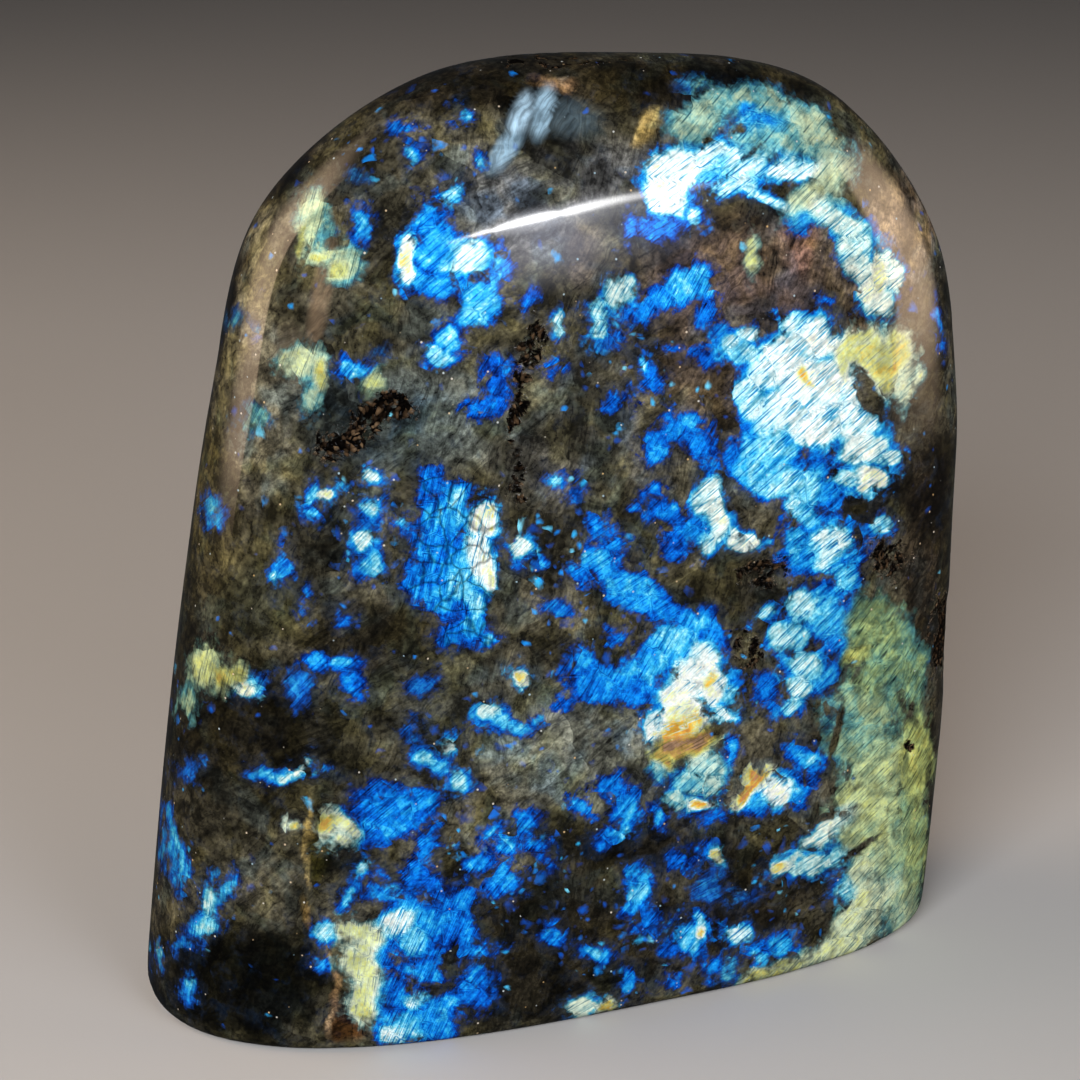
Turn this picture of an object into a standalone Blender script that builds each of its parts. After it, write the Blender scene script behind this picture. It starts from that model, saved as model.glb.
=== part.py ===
"""A labradorite freeform: one stone, ground and polished all round, that stands on its own sawn base.

The front faces -Y and the base lies on z = 0. The outline is the stone seen from the front: nearly straight
sides under a round top. Its front and back swell out from that outline, more at the base than at the top.
"""
import math

import bmesh
import bpy
import numpy as np
from mathutils import Vector, noise

MM = 0.001

# The front outline in millimetres (x, z), from the left of the base, over the top, to the right of the base.
OUTLINE = (
    (-68.5, 0.0),
    (-64.0, 36.0),
    (-58.5, 72.0),
    (-53.5, 99.5),
    (-44.5, 129.0),
    (-19.0, 148.0),
    (12.5, 150.0),
    (42.5, 144.5),
    (62.5, 122.0),
    (68.0, 95.0),
    (68.5, 72.0),
    (68.5, 36.0),
    (66.5, 0.0),
)
STEPS_PER_SPAN = 16

# The thickest line runs up the stone at this x. Walls rise to the core's height, and the top is domed above it.
RIDGE_X = 12.5
CORE_Z = 72.0

# Depths from the outline's plane, in millimetres, at the base and at the top of the stone.
HEIGHT = 150.0
FRONT_AT_BASE, FRONT_AT_TOP = 27.0, 21.8
BACK_AT_BASE, BACK_AT_TOP = 27.0, 19.8
FRONT_SKEW = 0.12  # the front swells this much more for each millimetre to the left of the ridge
SQUARENESS = 2.5  # exponent of the cross section, where 2 is an ellipse and 4 is nearly a box

BASE_EDGE = 3.0  # radius where the walls turn under to the base

# Grinding by hand leaves the polish slightly wavy.
WAVE_HEIGHT, WAVE_LENGTH = 0.35, 42.0
WAVE_SEED = Vector((3.1, 7.4, 1.9))

# Cells of the mesh along each side of the cube that it starts from.
CELLS_ACROSS, CELLS_DEEP = 28, 12
EDGE_ROWS, WALL_ROWS, DOME_ROWS = 3, 13, 16
LONGEST_RAY = 140.0
HALVINGS = 28


def outline_curve():
    """The outline as a smooth curve through its points, carried straight on at both ends."""
    points = np.array(OUTLINE)
    points = np.vstack([2 * points[0] - points[1], points, 2 * points[-1] - points[-2]])
    curve = []
    for before, start, end, after in zip(points, points[1:], points[2:], points[3:]):
        for t in np.arange(STEPS_PER_SPAN) / STEPS_PER_SPAN:
            curve.append(
                start
                + 0.5 * t * (end - before)
                + 0.5 * t**2 * (2 * before - 5 * start + 4 * end - after)
                + 0.5 * t**3 * (3 * start - before - 3 * end + after)
            )
    curve.append(points[-2])
    return np.array(curve)


CURVE = outline_curve()
FROM_RIDGE = CURVE - (RIDGE_X, CORE_Z)
DOME = FROM_RIDGE[FROM_RIDGE[:, 1] > -1.0][::-1]  # from the right side over the top to the left side
LEFT_WALL = FROM_RIDGE[(FROM_RIDGE[:, 0] < 0) & (FROM_RIDGE[:, 1] < 1.0)]
RIGHT_WALL = FROM_RIDGE[(FROM_RIDGE[:, 0] > 0) & (FROM_RIDGE[:, 1] < 1.0)][::-1]


def share_of_outline(x, z):
    """How far out a point of the front view lies: 0 on the ridge, 1 on the outline."""
    across, rise = x - RIDGE_X, z - CORE_Z
    if rise <= 0:
        wall = LEFT_WALL if across < 0 else RIGHT_WALL
        return abs(across) / abs(np.interp(rise, wall[:, 1], wall[:, 0]))
    angles = np.arctan2(DOME[:, 1], DOME[:, 0]) % (2 * math.pi)
    angles = np.where(angles > 1.5 * math.pi, angles - 2 * math.pi, angles)
    radii = np.hypot(DOME[:, 0], DOME[:, 1])
    return math.hypot(across, rise) / np.interp(math.atan2(rise, across), angles, radii)


def depth_at(x, y, z):
    """The depth of the front or the back where the stone is thickest, at this height."""
    up = z / HEIGHT
    if y < 0:
        skew = -FRONT_SKEW * (x - RIDGE_X)
        return FRONT_AT_BASE + (FRONT_AT_TOP - FRONT_AT_BASE) * up + skew
    return BACK_AT_BASE + (BACK_AT_TOP - BACK_AT_BASE) * up


def is_inside(point):
    x, y, z = point
    out = share_of_outline(x, z) ** SQUARENESS
    return out + (abs(y) / depth_at(x, y, z)) ** SQUARENESS < 1.0


def reach(start, way):
    """The distance from start to the surface along a unit vector."""
    near, far = 0.0, LONGEST_RAY
    for _ in range(HALVINGS):
        middle = (near + far) / 2
        if is_inside(start + way * middle):
            near = middle
        else:
            far = middle
    return near


def wave(point):
    """The polish's unevenness, which fades out towards the base edge so that the base stays flat."""
    fade = min(1.0, max(0.0, point.z - BASE_EDGE) / WAVE_LENGTH)
    return WAVE_HEIGHT * fade * noise.noise(point / WAVE_LENGTH + WAVE_SEED)


def on_wall(across, deep, row):
    """A point of the base or of the walls, on a level ray from the ridge."""
    if row <= EDGE_ROWS:
        turn = math.radians(90 * row / EDGE_ROWS)
        height, inset = BASE_EDGE * (1 - math.cos(turn)), BASE_EDGE * (1 - math.sin(turn))
    else:
        height = BASE_EDGE + (CORE_Z - BASE_EDGE) * (row - EDGE_ROWS) / WALL_ROWS
        inset = 0.0
    start = Vector((RIDGE_X, 0.0, height))
    share = max(abs(across), abs(deep))
    if share == 0:
        return start
    way = Vector((across * -OUTLINE[0][0], deep * FRONT_AT_BASE, 0.0)).normalized()
    point = start + way * share * (reach(start, way) - inset)
    return point + way * wave(point)


def on_dome(across, deep, row):
    """A point above the core's height, on a ray from the core."""
    rise = (row - EDGE_ROWS - WALL_ROWS) / DOME_ROWS
    start = Vector((RIDGE_X, 0.0, CORE_Z))
    way = Vector((across * -OUTLINE[0][0], deep * FRONT_AT_BASE, rise * (HEIGHT - CORE_Z))).normalized()
    point = start + way * reach(start, way)
    return point + way * wave(point)


def cube_of_cells(rows):
    """A cube from -1 to 1 whose faces are cut into cells."""
    bm = bmesh.new()
    bmesh.ops.create_cube(bm, size=2.0)
    for axis, cells in enumerate((CELLS_ACROSS, CELLS_DEEP, rows)):
        edges = [
            edge
            for edge in bm.edges
            if abs(edge.verts[0].co[axis] - edge.verts[1].co[axis]) > 1.0
        ]
        bmesh.ops.subdivide_edges(bm, edges=edges, cuts=cells - 1, use_grid_fill=True)
    return bm


def make_stone_mesh():
    rows = EDGE_ROWS + WALL_ROWS + DOME_ROWS
    bm = cube_of_cells(rows)
    for vertex in bm.verts:
        across, deep, up = vertex.co
        row = round((up + 1) / 2 * rows)
        place = on_dome if row > EDGE_ROWS + WALL_ROWS else on_wall
        vertex.co = place(across, deep, row) * MM

    # The origin is under the middle of the stone, on the base.
    middle = [
        (min(v.co[axis] for v in bm.verts) + max(v.co[axis] for v in bm.verts)) / 2
        for axis in range(2)
    ]
    bmesh.ops.translate(bm, verts=bm.verts, vec=(-middle[0], -middle[1], 0.0))
    bmesh.ops.recalc_face_normals(bm, faces=bm.faces)
    for face in bm.faces:
        face.smooth = True
    mesh = bpy.data.meshes.new("stone")
    bm.to_mesh(mesh)
    bm.free()
    return mesh


def polished_labradorite():
    """Dark smoky feldspar with a high polish."""
    material = bpy.data.materials.new("polished labradorite")
    material.use_nodes = True
    shader = material.node_tree.nodes["Principled BSDF"]
    shader.inputs["Base Color"].default_value = (0.030, 0.034, 0.032, 1.0)
    shader.inputs["Roughness"].default_value = 0.18
    shader.inputs["Metallic"].default_value = 0.0
    shader.inputs["IOR"].default_value = 1.56
    shader.inputs["Coat Weight"].default_value = 1.0
    shader.inputs["Coat Roughness"].default_value = 0.03
    return material


def main():
    for old in list(bpy.data.objects):
        bpy.data.objects.remove(old)
    collection = bpy.data.collections.new("labradorite freeform")
    bpy.context.scene.collection.children.link(collection)
    mesh = make_stone_mesh()
    mesh.materials.append(polished_labradorite())
    collection.objects.link(bpy.data.objects.new("stone", mesh))


main()
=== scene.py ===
import math
import random

import bmesh
import bpy
import numpy as np
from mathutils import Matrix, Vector, noise
from mathutils.bvhtree import BVHTree


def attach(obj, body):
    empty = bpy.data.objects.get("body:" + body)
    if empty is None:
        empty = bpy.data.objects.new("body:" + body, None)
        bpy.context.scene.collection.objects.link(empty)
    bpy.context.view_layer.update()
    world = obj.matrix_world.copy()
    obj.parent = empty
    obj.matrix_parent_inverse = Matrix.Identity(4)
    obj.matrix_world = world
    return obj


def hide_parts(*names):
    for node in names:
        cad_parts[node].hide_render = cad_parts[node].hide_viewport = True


# A polished labradorite freeform that stands on its sawn base. The stone is one piece: a fine copy of the
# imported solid. Its markings are held as point attributes, which one material turns into colour and gloss.

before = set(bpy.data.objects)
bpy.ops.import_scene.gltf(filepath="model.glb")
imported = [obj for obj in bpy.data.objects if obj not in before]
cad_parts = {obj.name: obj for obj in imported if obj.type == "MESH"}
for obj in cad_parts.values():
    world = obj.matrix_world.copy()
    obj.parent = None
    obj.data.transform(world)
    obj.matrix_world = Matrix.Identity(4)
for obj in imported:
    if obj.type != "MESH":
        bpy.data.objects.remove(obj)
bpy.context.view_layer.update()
mm = 0.001
print("frame loaded")


def linearColour(hexText):
    channels = [int(hexText[i:i + 2], 16) / 255 for i in (1, 3, 5)]
    return [c / 12.92 if c <= 0.04045 else ((c + 0.055) / 1.055) ** 2.4 for c in channels] + [1.0]


def smoothStep(low, high, values):
    share = np.clip((values - low) / (high - low), 0, 1)
    return share * share * (3 - 2 * share)


# The camera, at the photograph's viewing angle.
view = {
    "photoPx": 1080,
    "focalPx": 2600,  # a short telephoto
    "turn": -14,  # degrees round from the front, towards the stone's left
    "rise": 20,  # degrees above the floor
    "distance": 417.5 * mm,
    "lookAt": (-1.8 * mm, 1.3 * mm, 72.4 * mm),
    "sensor": 36,
}
turn, rise = math.radians(view["turn"]), math.radians(view["rise"])
toCamera = Vector((math.sin(turn) * math.cos(rise), -math.cos(turn) * math.cos(rise), math.sin(rise)))
rightWay = Vector((math.cos(turn), math.sin(turn), 0))
upWay = toCamera.cross(rightWay)
cameraAt = Vector(view["lookAt"]) + toCamera * view["distance"]

cameraData = bpy.data.cameras.new("camera")
cameraData.sensor_width = view["sensor"]
cameraData.lens = view["sensor"] * view["focalPx"] / view["photoPx"]
cameraData.clip_start = 0.01
camera = bpy.data.objects.new("camera", cameraData)
camera.location = cameraAt
camera.rotation_euler = toCamera.to_track_quat("Z", "Y").to_euler()
bpy.context.scene.collection.objects.link(camera)
bpy.context.scene.camera = camera


def inPhoto(points):
    away = points - np.array(cameraAt)
    scale = view["focalPx"] / -(away @ np.array(toCamera))
    middle = view["photoPx"] / 2
    across = middle + away @ np.array(rightWay) * scale
    down = middle - away @ np.array(upWay) * scale
    return across, down


def rayThrough(across, down):
    middle = view["photoPx"] / 2
    way = rightWay * (across - middle) + upWay * (middle - down) - toCamera * view["focalPx"]
    return way.normalized()


# The fine stone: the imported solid's quads, smoothed and cut finer, finest where the camera sees them.
stoneForm = {
    "mergeWithin": 0.01 * mm,
    "cutOnceFrom": -0.10,  # faces turned this much to the camera are cut in four
    "cutTwiceFrom": 0.22,  # and these in sixteen
    "smoothPasses": 12,
    "baseStaysBelow": 0.6 * mm,
}


def fineStone():
    bm = bmesh.new()
    bm.from_mesh(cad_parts["stone"].data)
    bmesh.ops.remove_doubles(bm, verts=bm.verts, dist=stoneForm["mergeWithin"])
    bmesh.ops.join_triangles(bm, faces=bm.faces, angle_face_threshold=0.8, angle_shape_threshold=1.6)
    cage = bpy.data.meshes.new("cage")
    bm.to_mesh(cage)
    bm.free()
    cageObject = bpy.data.objects.new("cage", cage)
    bpy.context.scene.collection.objects.link(cageObject)
    rounding = cageObject.modifiers.new("rounding", "SUBSURF")
    rounding.levels = rounding.render_levels = 1
    rounded = cageObject.evaluated_get(bpy.context.evaluated_depsgraph_get())
    smooth = bpy.data.meshes.new_from_object(rounded)
    bpy.data.objects.remove(cageObject)

    bm = bmesh.new()
    bm.from_mesh(smooth)
    for facing in (stoneForm["cutOnceFrom"], stoneForm["cutTwiceFrom"]):
        bm.normal_update()
        edges = {edge for face in bm.faces if face.normal.dot(toCamera) > facing for edge in face.edges}
        bmesh.ops.subdivide_edges(bm, edges=list(edges), cuts=1, use_grid_fill=True)
    above = [vertex for vertex in bm.verts if vertex.co.z > stoneForm["baseStaysBelow"]]
    for _ in range(stoneForm["smoothPasses"]):
        bmesh.ops.smooth_vert(
            bm, verts=above, factor=0.5, use_axis_x=True, use_axis_y=True, use_axis_z=True)
    for face in bm.faces:
        face.smooth = True
    mesh = bpy.data.meshes.new("stoneSurface")
    bm.to_mesh(mesh)
    bm.free()
    return mesh


stoneMesh = fineStone()
pointCount = len(stoneMesh.vertices)
print("fine stone:", pointCount, "points")

coordinates = np.empty(pointCount * 3)
stoneMesh.vertices.foreach_get("co", coordinates)
points = coordinates.reshape(-1, 3)
normals = np.empty(pointCount * 3)
stoneMesh.vertices.foreach_get("normal", normals)
normals = normals.reshape(-1, 3)
facingCamera = normals @ np.array(toCamera)
surface = BVHTree.FromPolygons(
    [vertex.co for vertex in stoneMesh.vertices], [polygon.vertices for polygon in stoneMesh.polygons]
)


def drift(size, seed):
    offset = Vector((seed, seed * 2.7, seed * 5.1))
    return np.array([noise.noise(Vector(point) / size + offset) for point in points])


# How far the markings' outlines wander from plain ellipses.
wandering = {"size": 6 * mm, "reach": 9, "fineSize": 2.6 * mm, "fineReach": 5}
straightAcross, straightDown = inPhoto(points)
across = straightAcross + drift(wandering["size"], 1.0) * wandering["reach"]
across += drift(wandering["fineSize"], 2.0) * wandering["fineReach"]
down = straightDown + drift(wandering["size"], 3.0) * wandering["reach"]
down += drift(wandering["fineSize"], 4.0) * wandering["fineReach"]
print("markings' wander ready")

# Flash grains: plates of feldspar that light up. Each has its spots as (across, down, half width, half
# height, turn in degrees, heat), placed in pixels of the photograph's frame. Heat runs from deep blue at
# 0.2 over azure 0.4, cyan 0.55, white 0.72 and pale yellow 0.8 to gold 0.9 and tan 1.0. Lines is the slope
# of the grain's fine lamellae, in degrees, and dull says how far its colours are greyed.
flashGrains = {
    "upperFanRim": {"dull": 0.7, "lines": 50, "spots": [
        (696, 120, 26, 20, 45, 0.64), (726, 102, 34, 18, 5, 0.60), (773, 108, 38, 20, -14, 0.62),
        (814, 134, 28, 22, -35, 0.68), (831, 175, 22, 26, -20, 0.70), (694, 81, 14, 7, 10, 0.48),
        (778, 140, 44, 20, -10, 0.58)]},
    "upperFan": {"dull": 0.0, "lines": 38, "spots": [
        (677, 172, 30, 22, 20, 0.76), (705, 156, 28, 13, 25, 0.70), (663, 194, 17, 20, 0, 0.78),
        (669, 208, 14, 10, 0, 0.74), (738, 161, 34, 16, 0, 0.66), (731, 184, 28, 16, 10, 0.66),
        (710, 172, 10, 20, -40, 0.52), (765, 123, 26, 13, 10, 0.38), (748, 110, 8, 6, 0, 0.33),
        (795, 169, 36, 9, 2, 0.69), (764, 200, 32, 8, -25, 0.66), (694, 219, 10, 8, 0, 0.66),
        (633, 228, 7, 12, 0, 0.42), (658, 230, 14, 12, 0, 0.38)]},
    "rightArc": {"dull": 0.25, "lines": 42, "spots": [
        (826, 216, 31, 19, -30, 0.68), (798, 221, 11, 9, 0, 0.42), (850, 230, 22, 15, -30, 0.66),
        (853, 249, 17, 19, 0, 0.67), (862, 269, 18, 13, -40, 0.72), (878, 277, 11, 26, -10, 0.86),
        (871, 288, 14, 13, 0, 0.78), (891, 272, 10, 24, 0, 0.70), (880, 304, 13, 16, 0, 0.70)]},
    "arcStreaks": {"dull": 0.75, "lines": 48, "spots": [
        (806, 200, 32, 14, 35, 0.72), (754, 257, 6, 19, 0, 0.78)]},
    "upperLobeRight": {"dull": 0.0, "lines": 62, "spots": [
        (688, 285, 27, 20, 10, 0.50), (661, 301, 24, 12, 32, 0.42), (644, 309, 14, 12, 20, 0.38),
        (705, 318, 7, 10, 0, 0.28)]},
    "upperLobeLeft": {"dull": 0.25, "lines": 60, "spots": [
        (620, 293, 15, 20, -15, 0.66), (600, 315, 10, 14, -20, 0.60), (597, 332, 9, 8, 0, 0.64),
        (620, 337, 12, 11, 0, 0.30), (561, 323, 7, 16, -10, 0.66)]},
    "links": {"dull": 0.1, "lines": 45, "spots": [
        (718, 332, 8, 11, -30, 0.40), (731, 345, 13, 10, 0, 0.66), (749, 337, 12, 9, 0, 0.70),
        (743, 353, 16, 10, 0, 0.58)]},
    "rightPatch": {"dull": 0.0, "lines": 42, "spots": [
        (798, 326, 22, 16, 0, 0.64), (816, 337, 24, 20, 0, 0.74), (787, 359, 38, 22, 30, 0.73),
        (765, 368, 24, 20, 20, 0.68), (749, 394, 18, 26, 0, 0.64), (814, 384, 44, 30, 0, 0.73),
        (808, 377, 4, 12, 30, 0.90), (847, 394, 26, 24, 0, 0.74), (787, 414, 38, 26, 0, 0.68),
        (819, 425, 32, 24, 0, 0.71), (855, 419, 22, 26, 0, 0.70), (773, 452, 34, 24, 0, 0.56),
        (754, 471, 20, 20, 0, 0.52),
        (787, 485, 38, 18, -15, 0.60), (826, 466, 18, 11, 0, 0.36), (814, 485, 18, 20, 0, 0.54),
        (832, 491, 8, 15, 0, 0.38), (732, 460, 9, 15, 0, 0.36), (803, 512, 22, 14, 0, 0.55)]},
    "rightPatchEdge": {"dull": 0.1, "lines": 36, "spots": [
        (862, 448, 24, 20, 0, 0.72), (869, 482, 20, 15, 15, 0.80), (849, 479, 12, 8, 0, 0.60),
        (888, 458, 11, 11, 0, 0.64), (879, 526, 8, 10, -20, 0.60)]},
    "rightTan": {"dull": 0.6, "lines": 42, "spots": [
        (858, 348, 28, 22, 0, 0.80), (886, 366, 22, 36, -28, 0.84), (904, 384, 13, 24, -20, 0.72),
        (847, 365, 7, 20, 0, 0.78)]},
    "cyanBall": {"dull": 0.0, "lines": 38, "spots": [
        (826, 548, 28, 22, 20, 0.66), (803, 559, 18, 15, 0, 0.44), (792, 543, 12, 14, 0, 0.50),
        (842, 540, 15, 16, 0, 0.66), (850, 559, 12, 12, 0, 0.42), (845, 577, 14, 16, 20, 0.50),
        (835, 594, 14, 12, 0, 0.46)]},
    "bandTop": {"dull": 0.15, "lines": 46, "spots": [
        (808, 605, 20, 15, 0, 0.62), (792, 633, 22, 16, 30, 0.60), (831, 621, 18, 24, 0, 0.50),
        (835, 638, 14, 15, 0, 0.33), (803, 665, 16, 15, 0, 0.64), (800, 688, 15, 14, 0, 0.66),
        (823, 677, 14, 16, 0, 0.42), (795, 706, 12, 8, 0, 0.60), (765, 613, 15, 7, 18, 0.62)]},
    "bandUpper": {"dull": 0.95, "lines": 52, "spots": [
        (869, 621, 26, 28, 0, 0.68), (892, 645, 24, 30, 0, 0.66), (901, 671, 22, 38, 0, 0.58),
        (858, 655, 13, 12, 0, 0.80), (874, 682, 22, 20, 30, 0.68)]},
    "band": {"dull": 0.85, "lines": 46, "spots": [
        (868, 708, 32, 28, 0, 0.66), (861, 741, 30, 24, 0, 0.64), (880, 766, 34, 32, 0, 0.72),
        (868, 801, 36, 26, 0, 0.74), (843, 721, 13, 10, 0, 0.56), (870, 833, 38, 24, 35, 0.72),
        (884, 855, 30, 22, 40, 0.70)]},
    "bandEdge": {"dull": 0.95, "lines": 62, "spots": [
        (908, 678, 18, 46, 0, 0.64), (915, 758, 18, 52, 0, 0.78), (913, 835, 18, 50, 0, 0.70),
        (905, 894, 16, 34, -8, 0.68)]},
    "bandFingers": {"dull": 0.3, "lines": 34, "spots": [
        (827, 831, 34, 11, 35, 0.72), (814, 864, 26, 9, 22, 0.66), (837, 857, 20, 8, 30, 0.62),
        (782, 867, 16, 9, 10, 0.86), (796, 858, 12, 5, 35, 0.64), (842, 889, 13, 12, 30, 0.58)]},
    "bandFoot": {"dull": 0.65, "lines": 48, "spots": [
        (863, 872, 28, 16, 42, 0.72), (869, 902, 34, 18, 48, 0.75), (855, 926, 34, 20, 40, 0.74),
        (842, 949, 34, 14, 24, 0.76), (814, 959, 22, 9, 16, 0.76), (787, 967, 22, 8, 14, 0.80),
        (762, 978, 18, 6, 12, 0.82), (892, 894, 16, 26, -20, 0.70), (904, 909, 11, 22, -15, 0.66)]},
    "bandDrops": {"dull": 0.0, "lines": 40, "spots": [
        (782, 945, 15, 10, 38, 0.48), (760, 959, 10, 7, 20, 0.48), (738, 938, 13, 11, 0, 0.66)]},
    "ring": {"dull": 0.0, "lines": 60, "spots": [
        (656, 438, 16, 10, 20, 0.32), (671, 425, 13, 10, 0, 0.34), (688, 431, 12, 12, 0, 0.38),
        (702, 447, 9, 14, 0, 0.34), (660, 454, 12, 9, 0, 0.42), (704, 470, 7, 16, -10, 0.35)]},
    "greenWhite": {"dull": 0.15, "lines": 40, "spots": [
        (710, 499, 13, 19, -15, 0.68), (715, 518, 12, 22, 0, 0.76), (705, 540, 10, 13, 0, 0.66),
        (741, 540, 18, 7, -20, 0.76)]},
    "greenWhiteBlue": {"dull": 0.0, "lines": 45, "spots": [
        (677, 520, 26, 14, -20, 0.34), (650, 510, 12, 9, 0, 0.35), (688, 534, 17, 13, 0, 0.38),
        (677, 548, 12, 9, 0, 0.30)]},
    "diagonal": {"dull": 0.0, "lines": 35, "spots": [
        (603, 562, 22, 14, 0, 0.46), (576, 570, 12, 9, 0, 0.40), (603, 528, 10, 9, 0, 0.30),
        (620, 545, 10, 9, 0, 0.32), (630, 584, 28, 14, -32, 0.44), (636, 600, 22, 10, -30, 0.42),
        (661, 608, 18, 10, -20, 0.38)]},
    "streaked": {"dull": 0.0, "lines": 56, "spots": [
        (694, 622, 25, 12, -18, 0.38), (715, 636, 14, 16, 0, 0.38), (672, 644, 24, 24, 35, 0.50),
        (650, 663, 24, 18, 35, 0.48), (622, 672, 24, 12, 20, 0.42), (600, 685, 22, 14, 0, 0.37),
        (578, 663, 11, 13, 0, 0.40), (630, 694, 14, 10, 0, 0.33)]},
    "whiteLobe": {"dull": 0.0, "lines": 42, "spots": [
        (705, 655, 17, 16, 0, 0.75), (694, 672, 23, 19, 0, 0.74), (685, 693, 28, 17, 20, 0.77),
        (715, 690, 16, 17, 0, 0.78), (710, 685, 6, 13, -20, 0.90), (677, 716, 32, 14, 12, 0.82),
        (731, 696, 7, 14, 0, 0.54), (721, 716, 13, 9, 20, 0.66), (653, 727, 8, 20, 0, 0.68)]},
    "orangeBand": {"dull": 0.0, "lines": 20, "spots": [
        (682, 726, 33, 5, 12, 0.90), (674, 734, 27, 4, 16, 0.95)]},
    "mauveBand": {"dull": 0.8, "lines": 28, "spots": [
        (685, 744, 30, 12, 18, 1.0), (662, 758, 9, 14, 0, 0.93)]},
    "greyLobe": {"dull": 0.45, "lines": 42, "spots": [
        (705, 765, 19, 19, 20, 0.64), (694, 781, 20, 13, 0, 0.56), (677, 801, 13, 11, 0, 0.60),
        (710, 784, 11, 13, 0, 0.62), (657, 772, 6, 9, 0, 0.52)]},
    "goldDrop": {"dull": 0.0, "lines": 30, "spots": [
        (702, 806, 10, 6, 0, 0.92), (705, 819, 15, 6, 0, 0.22), (730, 749, 8, 12, -20, 0.36)]},
    "crackled": {"dull": 0.0, "lines": 75, "crackle": 1.0, "spots": [
        (430, 542, 20, 18, 0, 0.42), (446, 520, 24, 20, 0, 0.44), (444, 558, 30, 24, 0, 0.38),
        (428, 580, 18, 20, 0, 0.38), (438, 602, 16, 12, 0, 0.40), (460, 580, 18, 28, 0, 0.54),
        (461, 508, 13, 18, 0, 0.52), (477, 560, 12, 28, 8, 0.74), (486, 520, 13, 20, -10, 0.79),
        (493, 513, 5, 10, 0, 0.90), (488, 577, 5, 12, 0, 0.88), (472, 605, 12, 14, 0, 0.60),
        (467, 624, 13, 9, 0, 0.44), (483, 637, 9, 7, 0, 0.52), (429, 492, 9, 14, -20, 0.35),
        (428, 474, 6, 10, 0, 0.33), (448, 636, 10, 9, 0, 0.33)]},
    "topLeft": {"dull": 0.0, "lines": 40, "spots": [
        (453, 197, 9, 14, -15, 0.56), (426, 217, 16, 14, 30, 0.42), (435, 244, 20, 28, 0, 0.42),
        (409, 257, 8, 25, 0, 0.80), (411, 283, 9, 10, 0, 0.76), (467, 258, 30, 21, 15, 0.66),
        (496, 267, 12, 17, 0, 0.42), (440, 287, 26, 13, 0, 0.43), (480, 297, 20, 20, 0, 0.50),
        (474, 316, 14, 11, 0, 0.52), (451, 338, 13, 16, -20, 0.46), (437, 357, 14, 7, 0, 0.58)]},
    "deepTail": {"dull": 0.0, "lines": 60, "spots": [
        (494, 366, 9, 8, 0, 0.22), (512, 365, 6, 8, 0, 0.32), (497, 384, 10, 12, 0, 0.26),
        (488, 404, 18, 13, 10, 0.26), (473, 411, 7, 6, 0, 0.34), (528, 300, 7, 9, -30, 0.36)]},
    "leftYellow": {"dull": 0.75, "lines": 75, "spots": [
        (312, 216, 12, 24, -8, 0.70), (302, 236, 6, 24, -12, 0.80), (325, 236, 6, 14, 0, 0.58),
        (344, 262, 14, 16, 0, 0.66), (337, 268, 8, 9, 0, 0.84), (325, 252, 14, 6, 10, 0.80)]},
    "leftPale": {"dull": 0.7, "lines": 70, "spots": [
        (301, 361, 18, 14, 0, 0.72), (320, 378, 6, 15, 0, 0.82), (311, 402, 9, 15, 0, 0.60)]},
    "leftBlues": {"dull": 0.1, "lines": 50, "spots": [
        (354, 371, 12, 9, 0, 0.48), (361, 226, 9, 13, -20, 0.42), (408, 127, 11, 6, 0, 0.34),
        (461, 114, 6, 6, 0, 0.50), (480, 161, 5, 7, 0, 0.54), (413, 157, 7, 9, 0, 0.52)]},
    "leftHaze": {"dull": 0.8, "lines": 60, "spots": [
        (354, 181, 12, 8, 0, 0.30), (378, 351, 10, 9, 0, 0.26), (252, 419, 15, 11, 0, 0.52),
        (371, 386, 10, 8, 0, 0.78), (238, 320, 10, 9, 0, 0.40)]},
    "centreSmalls": {"dull": 0.15, "lines": 45, "spots": [
        (519, 545, 11, 11, 20, 0.72), (533, 564, 10, 7, 0, 0.40), (307, 493, 8, 11, 0, 0.50),
        (322, 494, 11, 6, 0, 0.80), (311, 513, 8, 6, 0, 0.44), (368, 479, 8, 6, 0, 0.68),
        (369, 513, 9, 8, 0, 0.62), (378, 508, 7, 6, 0, 0.38), (363, 540, 9, 8, 0, 0.68),
        (369, 568, 13, 13, 0, 0.54), (403, 524, 7, 6, 0, 0.44), (287, 563, 9, 15, -15, 0.36),
        (279, 578, 5, 8, 0, 0.60), (306, 601, 6, 9, -10, 0.38), (548, 480, 9, 8, 0, 0.50),
        (579, 487, 9, 9, 0, 0.24), (556, 608, 14, 6, 0, 0.36), (344, 615, 9, 8, 0, 0.26)]},
    "middleSmalls": {"dull": 0.0, "lines": 45, "spots": [
        (644, 368, 5, 8, 0, 0.55), (613, 406, 7, 7, 0, 0.28), (552, 368, 9, 6, 0, 0.32),
        (650, 386, 13, 9, 20, 0.26), (699, 359, 7, 6, 0, 0.26), (677, 348, 13, 6, -10, 0.28),
        (831, 304, 12, 6, -20, 0.30), (655, 489, 8, 5, 0, 0.34), (795, 745, 10, 8, 0, 0.36),
        (767, 689, 9, 12, 30, 0.28), (614, 632, 6, 5, 0, 0.40), (565, 706, 7, 8, 0, 0.28)]},
    "leftPair": {"dull": 0.0, "lines": 45, "spots": [
        (317, 661, 9, 9, 0, 0.40), (341, 663, 12, 7, 0, 0.50), (349, 687, 12, 11, -30, 0.35)]},
    "leftDim": {"dull": 0.35, "lines": 45, "spots": [
        (294, 687, 20, 14, -20, 0.30), (419, 682, 14, 10, 20, 0.28), (416, 733, 7, 12, 0, 0.28),
        (185, 770, 8, 8, 0, 0.30), (213, 508, 7, 14, 0, 0.44)]},
    "goldLeft": {"dull": 0.8, "lines": 78, "spots": [
        (208, 664, 13, 20, 0, 0.76), (230, 677, 11, 14, 0, 0.86), (188, 702, 7, 14, 0, 0.68)]},
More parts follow.
